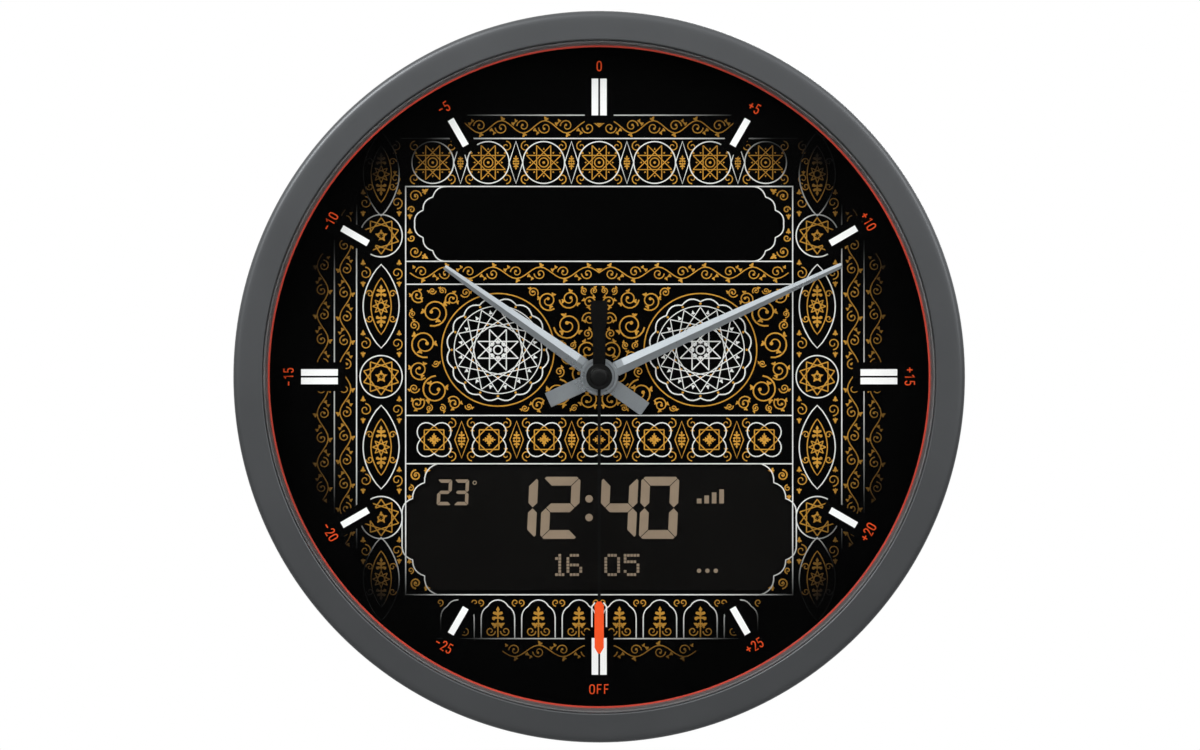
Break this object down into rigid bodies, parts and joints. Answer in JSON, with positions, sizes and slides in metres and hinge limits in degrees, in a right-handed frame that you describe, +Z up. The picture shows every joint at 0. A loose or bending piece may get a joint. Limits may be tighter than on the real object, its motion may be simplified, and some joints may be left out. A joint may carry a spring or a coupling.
{
  "type": "azan wall clock",
  "caption": "Round wall clock with ridged hands, a separate pointer hand for prayer-call minutes, a digital display in the dial and controls at the back.",
  "frame": {"origin": "centre of the flat rear face, where it lies on the wall", "axes": "+Z up, -Y out of the dial towards the viewer, +X to the right of the dial as it is read"},
  "size_m": [0.33, 0.048, 0.33],
  "materials": {
    "rim": "satin grey paint",
    "housing": "fine moulded grain",
    "glass": "clear, polished",
    "accent": "satin red",
    "dial": "matt black print with gold ornament",
    "carrier": "moulded",
    "silver": "brushed and lacquered",
    "pointer": "satin black, orange tip",
    "movement": "moulded",
    "steel": "zinc plated",
    "brass": "turned",
    "gearing": "natural acetal",
    "copper": "enamelled winding",
    "magnet": "sintered ferrite",
    "display": "dark liquid crystal glass",
    "rubber": "matt",
    "board": "green solder mask",
    "chip": "moulded",
    "paper": "pressed paper",
    "battery": "printed sleeve",
    "lead": "smooth sleeve"
  },
  "bodies": {
    "case": {"bezel": "rim", "spacer_ring": "rim", "lens": "glass", "accent_ring": "accent", "dial_plate": "dial", "dial_carrier": "carrier", "lcd_frame": "carrier", "rear_housing": "housing", "hanger_plate": "steel", "case_screw_1": "steel", "case_screw_2": "steel", "case_screw_3": "steel", "case_screw_4": "steel", "case_screw_5": "steel", "case_screw_6": "steel", "lcd_panel": "display", "zebra_strip": "rubber", "main_board": "board", "clock_chip": "chip", "capacitor": "chip", "speaker_frame": "steel", "speaker_magnet": "magnet", "cell_1": "battery", "cell_2": "battery", "cell_3": "battery", "contact_positive": "steel", "contact_link_left": "steel", "contact_link_right": "steel", "contact_negative": "steel", "movement_case": "movement", "movement_cover": "movement", "mounting_nut": "brass", "time_stator": "steel", "index_stator": "steel", "time_coil": "copper", "index_coil": "copper", "speaker_lead": "lead", "battery_lead": "lead", "movement_lead": "lead"},
    "hour_hand": {"hour_hand": "silver", "hour_wheel": "gearing"},
    "minute_hand": {"minute_hand": "silver", "centre_wheel": "gearing"},
    "index_hand": {"index_hand": "pointer", "index_wheel": "gearing"},
    "motion_wheel": {"motion_wheel": "gearing"},
    "second_wheel": {"second_wheel": "gearing"},
    "first_wheel": {"first_wheel": "gearing"},
    "time_rotor": {"time_rotor": "magnet"},
    "index_idler": {"index_idler": "gearing"},
    "index_rotor": {"index_rotor": "magnet"},
    "key_1": {"key_1": "rubber"},
    "key_2": {"key_2": "rubber"},
    "key_3": {"key_3": "rubber"},
    "key_4": {"key_4": "rubber"},
    "switch_slider": {"switch_slider": "rubber"},
    "volume_wheel": {"volume_wheel": "rubber"},
    "battery_door": {"battery_door": "housing"},
    "speaker_cone": {"speaker_cone": "paper"}
  },
  "joints": [
    {"name": "minute_hand_spin", "type": "hinge", "parent": "case", "child": "minute_hand", "pos_m": [0, 0, 0], "axis": [0, 1, 0], "continuous": true},
    {"name": "hour_hand_spin", "type": "hinge", "parent": "case", "child": "hour_hand", "pos_m": [0, 0, 0], "axis": [0, 1, 0], "continuous": true},
    {"name": "motion_wheel_spin", "type": "hinge", "parent": "case", "child": "motion_wheel", "pos_m": [0.01, 0, 0], "axis": [0, 1, 0], "continuous": true},
    {"name": "second_wheel_spin", "type": "hinge", "parent": "case", "child": "second_wheel", "pos_m": [-0.01039, 0, 0.006], "axis": [0, 1, 0], "continuous": true},
    {"name": "first_wheel_spin", "type": "hinge", "parent": "case", "child": "first_wheel", "pos_m": [-0.02039, 0, 0.006], "axis": [0, 1, 0], "continuous": true},
    {"name": "time_rotor_spin", "type": "hinge", "parent": "case", "child": "time_rotor", "pos_m": [-0.02039, 0, -0.004], "axis": [0, 1, 0], "continuous": true},
    {"name": "index_hand_spin", "type": "hinge", "parent": "case", "child": "index_hand", "pos_m": [0, 0, 0], "axis": [0, 1, 0], "continuous": true},
    {"name": "index_idler_spin", "type": "hinge", "parent": "case", "child": "index_idler", "pos_m": [0, 0, -0.012], "axis": [0, 1, 0], "continuous": true},
    {"name": "index_rotor_spin", "type": "hinge", "parent": "case", "child": "index_rotor", "pos_m": [0.012, 0, -0.012], "axis": [0, 1, 0], "continuous": true},
    {"name": "key_1_press", "type": "slide", "parent": "case", "child": "key_1", "axis": [0, -1, 0], "range_m": [0, 0.0007], "stiffness_N_per_m": 400},
    {"name": "key_2_press", "type": "slide", "parent": "case", "child": "key_2", "axis": [0, -1, 0], "range_m": [0, 0.0007], "stiffness_N_per_m": 400},
    {"name": "key_3_press", "type": "slide", "parent": "case", "child": "key_3", "axis": [0, -1, 0], "range_m": [0, 0.0007], "stiffness_N_per_m": 400},
    {"name": "key_4_press", "type": "slide", "parent": "case", "child": "key_4", "axis": [0, -1, 0], "range_m": [0, 0.0007], "stiffness_N_per_m": 400},
    {"name": "switch_slide", "type": "slide", "parent": "case", "child": "switch_slider", "axis": [1, 0, 0], "range_m": [0, 0.004]},
    {"name": "volume_turn", "type": "hinge", "parent": "case", "child": "volume_wheel", "pos_m": [0.045, 0, -0.072], "axis": [0, 1, 0], "range_deg": [-135, 135]},
    {"name": "battery_door_lift", "type": "slide", "parent": "case", "child": "battery_door", "axis": [0, 1, 0], "range_m": [0, 0.04]},
    {"name": "speaker_cone_move", "type": "slide", "parent": "case", "child": "speaker_cone", "axis": [0, 1, 0], "range_m": [-0.0005, 0.0005], "stiffness_N_per_m": 1500}
  ],
  "couplings": [
    {"joint": "hour_hand_spin", "follows": "minute_hand_spin", "ratio": 0.083333},
    {"joint": "motion_wheel_spin", "follows": "minute_hand_spin", "ratio": -0.33333},
    {"joint": "second_wheel_spin", "follows": "minute_hand_spin", "ratio": -5},
    {"joint": "first_wheel_spin", "follows": "minute_hand_spin", "ratio": 20},
    {"joint": "time_rotor_spin", "follows": "minute_hand_spin", "ratio": -60},
    {"joint": "index_idler_spin", "follows": "index_hand_spin", "ratio": -5},
    {"joint": "index_rotor_spin", "follows": "index_hand_spin", "ratio": 25}
  ]
}
